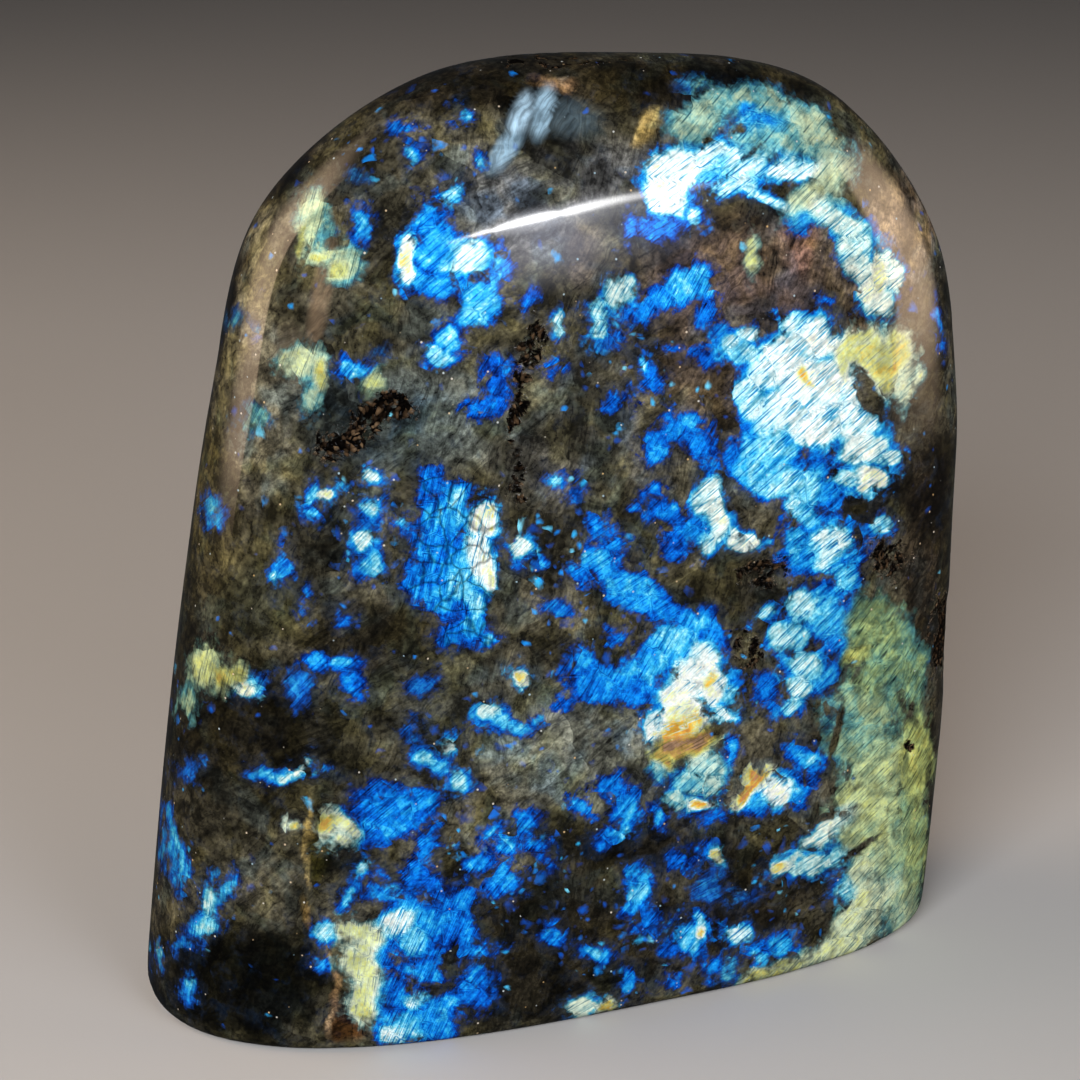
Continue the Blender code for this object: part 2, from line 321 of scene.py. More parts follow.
    "goldLeftPale": {"dull": 0.3, "lines": 60, "spots": [
        (245, 692, 12, 9, 30, 0.80), (255, 688, 8, 11, 0, 0.50)]},
    "speckRow": {"dull": 0.2, "lines": 40, "spots": [
        (263, 775, 9, 7, 0, 0.50), (284, 771, 13, 5, 15, 0.66), (304, 765, 10, 6, 15, 0.70),
        (326, 772, 10, 4, 0, 0.48), (424, 759, 13, 8, 0, 0.58), (438, 768, 12, 9, 0, 0.50),
        (451, 746, 10, 8, 0, 0.74), (456, 786, 9, 10, 0, 0.64), (488, 713, 10, 7, 0, 0.68),
        (500, 720, 11, 7, -25, 0.50), (523, 676, 10, 9, 0, 0.86), (516, 730, 12, 7, -15, 0.52),
        (540, 717, 12, 7, 25, 0.50), (482, 728, 8, 7, 0, 0.34)]},
    "lowerBlue": {"dull": 0.0, "lines": 40, "crackle": 0.35, "spots": [
        (394, 816, 34, 24, 0, 0.38), (382, 790, 20, 11, 0, 0.32), (420, 814, 17, 22, 0, 0.34),
        (383, 830, 22, 13, 0, 0.38), (429, 846, 10, 16, 0, 0.33), (421, 864, 12, 11, 0, 0.30),
        (417, 878, 17, 13, 0, 0.28)]},
    "lowerGold": {"dull": 0.5, "lines": 45, "spots": [
        (327, 824, 13, 9, 0, 0.90), (346, 827, 14, 9, -32, 0.80), (298, 824, 8, 6, 0, 0.86),
        (336, 842, 10, 5, 10, 0.78)]},
    "footBlue": {"dull": 0.0, "lines": 65, "spots": [
        (408, 905, 16, 12, 0, 0.44), (452, 900, 18, 14, 20, 0.35), (456, 925, 13, 20, 0, 0.33),
        (434, 922, 20, 18, 0, 0.42), (398, 924, 22, 13, 20, 0.74), (416, 940, 16, 15, 0, 0.60),
        (388, 952, 15, 13, 0, 0.34), (429, 968, 14, 20, 0, 0.40), (402, 968, 14, 11, 0, 0.24),
        (411, 972, 10, 6, 15, 0.56), (390, 993, 16, 13, 0, 0.36), (416, 1001, 20, 8, 0, 0.68),
        (435, 1008, 16, 14, 0, 0.42), (408, 1024, 24, 14, 0, 0.54), (396, 1032, 14, 9, 0, 0.70),
        (440, 1022, 16, 12, 20, 0.36)]},
    "footPale": {"dull": 0.55, "lines": 80, "spots": [
        (353, 930, 17, 13, -20, 0.80), (374, 944, 15, 12, -30, 0.78), (362, 964, 18, 20, 0, 0.80),
        (369, 992, 16, 24, 0, 0.80), (364, 1014, 13, 12, 0, 0.82)]},
    "footCyan": {"dull": 0.1, "lines": 50, "spots": [
        (326, 932, 11, 15, -30, 0.60), (319, 960, 7, 7, 0, 0.44), (352, 894, 6, 7, 0, 0.50),
        (362, 867, 8, 10, -20, 0.64), (378, 877, 8, 5, 0, 0.36), (387, 893, 14, 7, 0, 0.46)]},
    "leftEdge": {"dull": 0.25, "lines": 84, "spots": [
        (169, 814, 5, 9, 0, 0.34), (171, 846, 8, 28, 0, 0.42), (182, 872, 8, 20, 0, 0.40),
        (212, 900, 12, 21, -10, 0.60), (228, 892, 8, 15, -15, 0.46), (204, 928, 14, 11, 0, 0.52),
        (183, 949, 11, 6, 0, 0.38), (187, 981, 6, 8, 0, 0.50), (185, 990, 8, 5, 0, 0.36),
        (157, 952, 4, 10, 0, 0.48)]},
    "footRight": {"dull": 0.0, "lines": 50, "spots": [
        (527, 821, 11, 9, 0, 0.36), (504, 884, 14, 13, 0, 0.34), (507, 850, 9, 8, 0, 0.42),
        (497, 836, 9, 8, 0, 0.42), (480, 866, 9, 8, 0, 0.42), (539, 844, 9, 7, 0, 0.34),
        (544, 863, 8, 7, 0, 0.34), (552, 938, 8, 8, 0, 0.40), (477, 949, 14, 7, 10, 0.38),
        (480, 977, 14, 14, 0, 0.34), (461, 984, 9, 11, 0, 0.30), (476, 1004, 15, 8, 0, 0.28)]},
    "lowerRight": {"dull": 0.0, "lines": 50, "spots": [
        (628, 810, 15, 17, 0, 0.40), (622, 831, 10, 10, 0, 0.52), (655, 815, 7, 9, 0, 0.46),
        (599, 843, 9, 6, 0, 0.34), (581, 803, 9, 8, 0, 0.38), (614, 786, 9, 6, 0, 0.34),
        (677, 864, 9, 9, 0, 0.28), (701, 852, 8, 6, 0, 0.30), (641, 877, 12, 13, 0, 0.44),
        (641, 894, 12, 15, -10, 0.58), (635, 906, 10, 8, 0, 0.50), (685, 938, 12, 18, 30, 0.52),
        (697, 923, 8, 8, 0, 0.62), (698, 932, 4, 8, 0, 0.88), (672, 948, 8, 6, 0, 0.22),
        (595, 951, 11, 7, 0, 0.46), (650, 929, 8, 7, 0, 0.30), (628, 982, 12, 13, 0, 0.38),
        (710, 967, 10, 8, 0, 0.36), (672, 982, 8, 6, 0, 0.34)]},
    "lowerRightDim": {"dull": 0.45, "lines": 30, "spots": [
        (710, 885, 18, 13, 20, 0.28), (729, 968, 8, 10, 0, 0.46), (718, 856, 8, 7, 0, 0.84),
        (743, 899, 11, 5, 20, 0.32), (581, 1008, 12, 8, 20, 0.72), (603, 1007, 10, 6, 0, 0.92)]},
    "paleEye": {"dull": 0.0, "lines": 45, "spots": [
        (778, 794, 17, 14, 25, 0.77), (787, 786, 9, 8, 0, 0.62), (759, 806, 12, 8, 20, 0.42),
        (795, 792, 8, 12, 0, 0.36), (811, 759, 14, 10, 0, 0.46), (811, 773, 6, 12, 0, 0.30)]},
    "redFlick": {"dull": 0.35, "lines": 45, "spots": [
        (759, 784, 8, 14, -40, 0.97), (747, 797, 8, 10, -30, 0.96)]},
    "rimLine": {"dull": 0.0, "lines": 80, "spots": [
        (937, 316, 4, 17, 8, 0.42)]},
}

grainRules = {
    "pxToMm": view["distance"] / view["focalPx"] / mm,
    "depthReach": 13,  # mm a grain goes on into the stone, along the line of sight
    "farOutside": -3.0,  # mm, the lowest value the flash field keeps
    "joinWithin": 0.8,  # mm over which neighbouring spots run together
    "joinFrom": -1.6,  # mm, a spot's reach outside its own border
    "grow": 0.55,  # mm added to every spot
    "rimHeat": 0.27,
    "rimShare": 0.58,  # of a grain's own heat, which a hot grain keeps at its rim
    "warmRimFrom": (0.45, 0.86),  # grains as dull or as hot as this stay nearly as warm at their rims
    "warmRimDrop": 0.12,
    "rimRatios": (1.15, 0.80),  # where a rim starts and ends, as shares of a spot's half width
    "blend": 2.5,  # how sharply heat changes from spot to spot
    "blendUpTo": 3.5,  # half widths from a spot's middle
    "patternStep": 7.31,  # keeps one grain's lines apart from the next grain's
    "gapFloor": -1.6,  # mm, what a gap pulls the flash field down to
    "heatElsewhere": 0.4,
}
flash = np.full(pointCount, grainRules["farOutside"])
weightSum = np.full(pointCount, 1e-12)
heatSum = grainRules["heatElsewhere"] * weightSum
dullSum = np.zeros(pointCount)
crackleSum = np.zeros(pointCount)
nearest = np.full(pointCount, -1e9)
grainSpace = np.zeros((pointCount, 3))


def paintSpot(index, grain, heat, along, up, cover, ratio, size):
    weight = np.exp(-grainRules["blend"] * np.minimum(ratio, grainRules["blendUpTo"]) ** 2) / size
    weight *= smoothStep(grainRules["farOutside"] + 0.1, grainRules["farOutside"] + 1.0, cover)
    cover = cover + grainRules["grow"]
    weightSum[:] += weight
    rim = max(grainRules["rimHeat"], heat * grainRules["rimShare"])
    dullFrom, hotFrom = grainRules["warmRimFrom"]
    if grain["dull"] > dullFrom or heat > hotFrom:
        rim = max(rim, heat - grainRules["warmRimDrop"])
    heatSum[:] += weight * (rim + (heat - rim) * smoothStep(*grainRules["rimRatios"], ratio))
    dullSum[:] += weight * grain["dull"]
    crackleSum[:] += weight * grain.get("crackle", 0.0)
    near, join = cover > grainRules["joinFrom"], grainRules["joinWithin"]
    flash[near] = join * np.logaddexp(flash[near] / join, cover[near] / join)
    slope = math.radians(grain["lines"])
    here = cover > nearest
    nearest[here] = cover[here]
    grainSpace[here, 0] = along[here] * math.cos(slope) + up[here] * math.sin(slope)
    grainSpace[here, 1] = -along[here] * math.sin(slope) + up[here] * math.cos(slope)
    grainSpace[here, 2] = index * grainRules["patternStep"]


def ellipseRatio(across, up, halfWidth, halfHeight, degrees):
    angle = math.radians(degrees)
    longWay = across * math.cos(angle) + up * math.sin(angle)
    shortWay = -across * math.sin(angle) + up * math.cos(angle)
    return np.hypot(longWay / halfWidth, shortWay / halfHeight)


# Where a zone's edge starts and where the zone is whole, as shares of its half width.
zoneEdges = {
    "gaps": (1.3, 0.5),
    "ground": (1.25, 0.55),
    "veils": (1.35, 0.45),
    "flecks": (1.3, 0.4),
    "fissures": (1.2, 0.3),
}


def overZones(zones, across, down):
    for zoneAcross, zoneDown, halfWidth, halfHeight, degrees, *rest in zones.values():
        yield ellipseRatio(across - zoneAcross, zoneDown - down, halfWidth, halfHeight, degrees), *rest


pxToMm = grainRules["pxToMm"]
for index, (name, grain) in enumerate(flashGrains.items()):
    for spotAcross, spotDown, halfWidth, halfHeight, degrees, heat in grain["spots"]:
        hit = surface.ray_cast(cameraAt, rayThrough(spotAcross, spotDown))[0]
        if hit is None:
            print("spot off the stone:", name, spotAcross, spotDown)
            continue
        along, up = (across - spotAcross) * pxToMm, (spotDown - down) * pxToMm
        ratio = ellipseRatio(along, up, halfWidth * pxToMm, halfHeight * pxToMm, degrees)
        size = math.sqrt(halfWidth * halfHeight) * pxToMm
        cover = (1 - ratio) * size
        depth = np.abs((points - np.array(hit)) @ np.array(toCamera)) / mm
        cover = cover - np.clip(depth - grainRules["depthReach"], 0, None)
        along, up = (straightAcross - spotAcross) * pxToMm, (spotDown - straightDown) * pxToMm
        cover = np.clip(cover, grainRules["farOutside"], None)
        paintSpot(index, grain, heat, along, up, cover, ratio, size)

# Dark gaps and creases that cut through the grains: (across, down, half width, half height, turn, depth).
darkGaps = {
    "fanSpot": (742, 128, 7, 7, 0, 0.8),
    "fanLine": (742, 161, 46, 3, 41, 0.45),
    "fanLineLow": (722, 184, 32, 3, 52, 0.35),
    "patchWedge": (867, 392, 12, 34, 30, 1.0),
    "patchCrease": (806, 438, 42, 3, 18, 0.35),
    "patchLow": (842, 466, 24, 5, 40, 0.35),
    "bandCreaseTop": (836, 737, 4, 34, -14, 0.8),
    "bandCrease": (860, 848, 38, 4, 35, 0.7),
    "bandCreaseLow": (838, 813, 30, 4, 21, 0.6),
    "bandCreaseMiddle": (872, 776, 36, 3, 38, 0.45),
    "bandCreaseFoot": (850, 905, 34, 3, 40, 0.4),
    "bandEdgeTop": (905, 700, 8, 30, 20, 0.6),
    "lobeNick": (722, 730, 14, 6, 40, 0.9),
    "greyCrack": (692, 772, 22, 3, -40, 0.4),
    "streakedLine": (640, 640, 42, 3, 60, 0.3),
    "whiteLine": (688, 668, 34, 3, 40, 0.25),
    "topLeftGap": (450, 268, 3, 20, 10, 0.3),
}
for ratio, depth in overZones(darkGaps, straightAcross, straightDown):
    share = depth * smoothStep(*zoneEdges["gaps"], ratio) * (facingCamera > 0)
    flash = flash * (1 - share) + grainRules["gapFloor"] * share
print("front grains painted:", len(flashGrains))

# Grains on the sides the photograph doesn't show: scattered clusters of the same kinds.
hiddenGrains = {
    "seed": 11,
    "count": 46,
    "spotsEach": (3, 8),
    "spread": 6.5,  # mm between a cluster's spots
    "halfWidth": (2.0, 5.5),
    "halfHeight": (1.6, 4.0),
    "depth": 6.0,
    "heats": (0.28, 0.34, 0.38, 0.42, 0.45, 0.52, 0.6, 0.7, 0.76, 0.86),
    "heatShift": (-0.08, 0.12),
    "turns": (-60, 60),
    "dulls": (0.0, 0.0, 0.1, 0.5, 0.7),
    "lines": (30, 70),
    "aboveFloor": 4 * mm,
    "seenFrom": -0.02,  # they fade out where the surface turns this far to the camera
    "fade": 30,  # mm for each whole step of that turn
}
dice = random.Random(hiddenGrains["seed"])
turnedAway = facingCamera < hiddenGrains["seenFrom"]
hidden = np.nonzero(turnedAway & (points[:, 2] > hiddenGrains["aboveFloor"]))[0]
for cluster in range(hiddenGrains["count"]):
    home = points[dice.choice(hidden)]
    grain = {"dull": dice.choice(hiddenGrains["dulls"]), "lines": dice.uniform(*hiddenGrains["lines"])}
    warmth = dice.choice(hiddenGrains["heats"])
    for _ in range(dice.randint(*hiddenGrains["spotsEach"])):
        shift = Vector([dice.gauss(0, hiddenGrains["spread"]) * mm for _ in range(3)])
        place, normal = surface.find_nearest(Vector(home) + shift)[:2]
        side = normal.cross(Vector((0, 0, 1))).normalized()
        upright = normal.cross(side)
        away = (points - np.array(place)) / mm
        along, up = away @ np.array(side), away @ np.array(upright)
        width, height = dice.uniform(*hiddenGrains["halfWidth"]), dice.uniform(*hiddenGrains["halfHeight"])
        ratio = ellipseRatio(along, up, width, height, dice.uniform(*hiddenGrains["turns"]))
        size = math.sqrt(width * height)
        cover = (1 - ratio) * size
        cover = cover - np.clip(np.abs(away @ np.array(normal)) - hiddenGrains["depth"], 0, None)
        cover = cover - hiddenGrains["fade"] * np.clip(facingCamera - hiddenGrains["seenFrom"], 0, None)
        heat = warmth + dice.uniform(*hiddenGrains["heatShift"])
        cover = np.clip(cover, grainRules["farOutside"], None)
        paintSpot(100 + cluster, grain, heat, along, up, cover, ratio, size)
print("hidden grains painted:", hiddenGrains["count"])

# The smoky ground, with painted reflections and painted shade: zones as (across, down, half width, half
# height, turn, colour, share). Most zones are the stone's own tones; those marked below are painted light.
groundColour = "#39362a"
groundZones = {
    # A painted reflection: the broad milky sheen of the warm left lamp, painted paler into the ground.
    "paintedLeftMilkyReflection": (268, 350, 70, 165, -8, "#575343", 0.8),
    # A painted reflection: the soft grey haze of the lamps above the front, round the streak on the upper
    # roll.
    "paintedTopHazeReflection": (560, 200, 130, 60, 8, "#4a4c4e", 0.6),
    # Painted shade: the dark band where the top rolls away and mirrors the dark room.
    "paintedCrownShade": (560, 84, 300, 36, 0, "#120d06", 0.85),
    "bankDark": (385, 425, 80, 42, 10, "#0a0805", 0.85),
    "crackDark": (524, 400, 22, 90, -4, "#0b0906", 0.8),
    "smokeCentre": (400, 420, 110, 60, 0, "#3e4644", 0.6),
    "plum": (740, 275, 110, 60, 0, "#4d3f39", 0.8),
    "plumMiddle": (690, 375, 70, 70, 0, "#463a30", 0.7),
    "olive": (580, 430, 90, 90, 0, "#4a4840", 0.8),
    "greyCentre": (590, 745, 110, 70, 0, "#585a50", 0.8),
    "greyHeart": (450, 700, 60, 70, 40, "#3a3b33", 0.6),
    "leftOlive": (212, 520, 30, 130, 5, "#453f27", 0.7),
    "leftDark": (240, 740, 90, 80, 0, "#0f0c06", 0.85),
    "leftLow": (262, 602, 52, 46, 0, "#24251a", 0.75),
    "leftFoot": (240, 985, 100, 70, 0, "#030302", 0.97),
    "middleDark": (370, 640, 90, 40, 0, "#1c170e", 0.7),
    "footDark": (560, 950, 160, 80, 10, "#15110a", 0.8),
    "darkBelt": (660, 850, 130, 28, -5, "#0c0a07", 0.92),
    "footRight": (740, 910, 90, 40, 25, "#130e08", 0.8),
    # Painted shade: the dark roll-off along the right rim.
    "paintedRightRimShade": (925, 540, 26, 120, -3, "#1a130c", 0.8),
    "pinkHaze": (798, 247, 20, 28, 10, "#7d5f50", 0.75),
    "peachHaze": (548, 84, 26, 8, -6, "#7a6048", 0.7),
    # Painted shade: the dark rim along the left edge and, below, along the left shoulder.
    "paintedLeftRimShade": (224, 305, 13, 100, -13, "#191309", 0.9),
    "paintedLeftShoulderShade": (292, 160, 16, 80, -42, "#191309", 0.9),
    # A painted reflection: the soft beige band of the warm right lamp on the right rim.
    "paintedRightBeigeReflection": (900, 240, 40, 120, -22, "#6b5a4a", 0.55),
    "tanInclusion": (648, 130, 12, 24, -38, "#8f7a48", 0.95),
    "sugar": (585, 252, 16, 40, 0, "#5a5148", 0.6),
    "rustVein": (311, 845, 4, 50, 0, "#8f7c50", 0.9),
    "rustSide": (323, 850, 11, 44, 0, "#37320c", 0.85),
    "rustEnd": (308, 915, 5, 18, 15, "#7a6238", 0.8),
    "wedge": (343, 1034, 20, 15, 0, "#42290f", 0.9),
    "wedgeEdge": (332, 1024, 3, 18, -35, "#9a8060", 0.85),
    "vein": (334, 985, 4, 40, 5, "#7a6048", 0.7),
}
ground = np.tile(linearColour(groundColour)[:3], (pointCount, 1))
for ratio, colour, share in overZones(groundZones, across, down):
    part = (share * smoothStep(*zoneEdges["ground"], ratio))[:, None]
    ground = ground * (1 - part) + np.array(linearColour(colour)[:3]) * part

# Pale veils in the smoke, with the same values.
veils = {
    "wedgeFoot": (505, 150, 11, 28, -36, "#93b5ca", 0.9),
    "wedgeLeft": (521, 116, 11, 25, -20, "#a2c1d4", 0.95),
    "wedgeRight": (543, 112, 12, 27, -14, "#8fafc2", 0.85),
    "wedgeVeil": (568, 118, 34, 20, -8, "#47575f", 0.6),
    "leftPeach": (322, 290, 10, 66, -10, "#7d6a54", 0.75),
    "leftPeachLow": (292, 352, 16, 30, 10, "#6a6150", 0.6),
}
veilColour = np.zeros((pointCount, 3))
veilShare = np.zeros(pointCount)
for ratio, colour, share in overZones(veils, straightAcross, straightDown):
    part = share * smoothStep(*zoneEdges["veils"], ratio) * (facingCamera > 0)
    stronger = part > veilShare
    veilColour[stronger] = linearColour(colour)[:3]
    veilShare[stronger] = part[stronger]

# Where small blue flecks crowd: (across, down, half width, half height, turn, share of cells that light).
fleckFloor = 0.035
fleckZones = {
    "lowerMiddle": (510, 870, 80, 90, 0, 0.5),
    "lowerRight": (640, 920, 110, 70, 0, 0.4),
    "upperMiddle": (640, 390, 90, 70, 0, 0.3),
    "left": (350, 520, 70, 70, 0, 0.3),
    "leftTop": (400, 170, 80, 50, 0, 0.25),
    "aboveRow": (480, 760, 90, 40, 0, 0.35),
    "middle": (560, 560, 60, 90, 0, 0.25),
    "streakEdge": (600, 640, 60, 60, 0, 0.35),
    "bandEdge": (790, 880, 60, 70, 0, 0.3),
    "beside": (720, 720, 60, 80, 0, 0.2),
}
flecks = np.full(pointCount, fleckFloor)
for ratio, share in overZones(fleckZones, across, down):
    flecks = np.maximum(flecks, share * smoothStep(*zoneEdges["flecks"], ratio))

# Fissures that the polish leaves rough and dark: (across, down, half width, half height, turn, strength).
fissures = {
    "leftBank": (385, 412, 50, 22, 14, 0.85),
    "leftBankLow": (345, 440, 40, 22, 22, 0.85),
    "crackTop": (534, 342, 14, 40, -18, 0.75),
    "crackMiddle": (518, 405, 12, 50, -6, 0.75),
    "crackLow": (515, 475, 10, 50, 4, 0.65),
    "rightBank": (942, 632, 14, 52, -2, 0.9),
    "rightBankTop": (890, 558, 28, 32, 0, 0.6),
    "overBand": (762, 572, 36, 18, 20, 0.65),
    "besideBand": (750, 650, 24, 40, 10, 0.5),
    "pit": (908, 742, 6, 7, 0, 1.0),
    "topPits": (560, 62, 120, 7, 2, 0.35),
}
fissure = np.zeros(pointCount)
for ratio, strength in overZones(fissures, across, down):
    part = strength * smoothStep(*zoneEdges["fissures"], ratio) * (facingCamera > 0)
    fissure = np.maximum(fissure, part)

# The fissures are shallow hollows with a gravelly floor.
hollow = {"depth": 0.45 * mm, "gravel": 0.9 * mm, "gravelHeight": 0.22 * mm}
gravel = drift(hollow["gravel"], 9.0)
sunk = fissure * (hollow["depth"] + gravel * hollow["gravelHeight"])
points -= normals * sunk[:, None]
stoneMesh.vertices.foreach_set("co", points.ravel())
stoneMesh.update()


def pointAttribute(name, kind, key, values):
    attribute = stoneMesh.attributes.new(name, kind, "POINT")
    attribute.data.foreach_set(key, np.ascontiguousarray(values, dtype=np.float32).ravel())


pointAttribute("flash", "FLOAT", "value", flash)
pointAttribute("warmth", "FLOAT", "value", heatSum / weightSum)  # the name heat is taken in the renderer
pointAttribute("dull", "FLOAT", "value", dullSum / weightSum)
pointAttribute("crackle", "FLOAT", "value", crackleSum / weightSum)
pointAttribute("grainSpace", "FLOAT_VECTOR", "vector", grainSpace)
pointAttribute("ground", "FLOAT_COLOR", "color", np.hstack([ground, np.ones((pointCount, 1))]))
pointAttribute("veil", "FLOAT_COLOR", "color", np.hstack([veilColour, np.ones((pointCount, 1))]))
pointAttribute("veilShare", "FLOAT", "value", veilShare)
pointAttribute("flecks", "FLOAT", "value", flecks)
pointAttribute("fissure", "FLOAT", "value", fissure)
print("attributes stored")


def addNode(tree, kind, inputs=None, stops=None, **settings):
    node = tree.nodes.new("ShaderNode" + kind)
    for name, value in settings.items():
        setattr(node, name, value)
    for key, value in (inputs or {}).items():
        if isinstance(value, bpy.types.Node):
            value = value.outputs[0]
        if isinstance(value, bpy.types.NodeSocket):
            tree.links.new(value, node.inputs[key])
        else:
            node.inputs[key].default_value = value
    if stops:
        elements = node.color_ramp.elements
        while len(elements) < len(stops):
            elements.new(0.5)
        for element, (position, colour) in zip(elements, stops):
            element.position = position
            element.color = linearColour(colour)
    return node


# Polished labradorite: a smoky plagioclase feldspar, ground on wheels and buffed with oxide until it shines
# like wet glass. Light that enters is thrown back by exsolution lamellae a few hundred nanometres apart, so
# whole grains flash blue, cyan and gold under the clear surface, while the ground between them stays dark.
polish = {
    "ior": 1.56,
    "coatRoughness": 0.05,
    "underCoatGloss": 0.03,  # the coat is the stone's one real surface
    "groundRoughness": 0.42,
    "fissureRoughness": 0.85,
    "flashMetallic": 0.25,
    "pushMm": 5.0,
    "pushReachMm": 3.2,
    # The ground's sizes, in mm.
    "cloudMm": 12,
    "patchMm": 4.0,
    "grainMm": 0.9,
    "fragmentMm": 11,
    "striationMm": (8, 4, 0.5),  # along, into the stone, across
    "seamMm": (30, 12, 5.5),
    "striationTurns": (25, 85),  # the steepness of the lines, lowest and highest, in degrees
    "oliveMm": 9,
    "blueMm": 7,
    # The flash's sizes, in mm.
    "borderMm": 2.6,
    "borderFineMm": 0.7,
    "lamellaMm": (7.0, 1.0),  # length and width of the broad streaks
    "hairlineMm": (5.0, 0.26),
    "mottleMm": 1.8,
    "gritMm": 0.6,
    "shardMm": 3.4,
    "crackleMm": 3.6,
    "fleckMm": 2.3,
    "smallFleckMm": 1.2,
    "sparkleMm": 0.6,
    "crumbMm": 0.6,
    "hazeColour": "#10345a",
    "oliveTint": (1.05, 1.0, 0.62, 1.0),
    "blueTint": (0.72, 0.96, 1.32, 1.0),
    "tintMost": 0.75,
    "veilLight": (0.7, 1.25),
    # How ragged a grain's border is, in mm, and how soft in a bright and in a dull grain.
    "borderReach": (3.0, 1.0, 0.8),
    "edgeFrom": (-0.5, -1.1),
    "edgeTo": (1.1, 2.2),
    # How far heat wanders with the streaks, the mottle, the grit and the shards, and how it is cooled.
    "heatReach": (0.22, 0.22, 0.10, 0.05),
    "steadyWhenHot": 0.55,
    "borderCooling": -0.13,
    "hairlineCooling": 0.24,
    # How dark the hairlines are in a bright and in a dull grain, and the light left in each layer's dark.
    "hairlineDark": (0.36, 0.75),
    "streakLight": 0.60,
    "gritLight": (0.78, 1.04),
    "borderLight": 0.62,
    "shadeLight": (0.95, 0.42),  # of a bright and of a dull grain
    "shadePale": 1.12,
    "crackDark": 0.65,
    "hazeMost": 0.25,
    "fleckRadius": (0.16, 0.55),  # shares of a fleck cell
    "fleckHeat": (0.20, 0.56),
    "fleckStrength": (0.35, 0.9),
    "sparkAbove": 0.988,  # so about one cell in eighty is a spark
    "sparkStrength": 0.7,
    "crumbShade": 0.2,
    "fissureCoat": 0.1,
    "fissureReliefMm": 0.4,
}
# Each layer of the ground: the noise values from which and up to which it turns from dark to pale, and the
# light that its dark and its pale parts give.
groundLayers = {
    "cloud": (0.36, 0.64, 0.38, 1.55),
    "fragment": (0.0, 1.0, 0.55, 1.45),
    "stripes": (0.32, 0.68, 0.55, 1.45),
    "patches": (0.38, 0.62, 0.36, 1.60),
    "speckle": (0.36, 0.64, 0.45, 1.55),
    "seam": (0.0, 0.007, 0.45, 1.0),
}
brightStops = [
    (0.00, "#020a20"), (0.14, "#052c84"), (0.26, "#0560d4"), (0.37, "#0c8cea"), (0.48, "#34b8ee"),
    (0.57, "#84e0f6"), (0.65, "#d8f8fa"), (0.74, "#fafff8"), (0.82, "#e2eca4"), (0.89, "#e8c04a"),
    (0.95, "#d88f38"), (1.00, "#b07c54"),
]
dullStops = [
    (0.00, "#0a1216"), (0.28, "#1c3a50"), (0.42, "#35687a"), (0.55, "#5a8e80"), (0.66, "#85a46c"),
    (0.77, "#aaba68"), (0.88, "#bab560"), (0.95, "#a08850"), (1.00, "#7f6b58"),
]
sparkStops = [(0.0, "#c9a36a"), (0.5, "#d8cfc0"), (1.0, "#8fb6c8")]
crumbStops = [(0.0, "#030202"), (0.55, "#0a0705"), (0.72, "#221810"), (0.88, "#55422f"), (1.0, "#6e5a44")]


def perMm(size):
    return 1 / (size * mm)


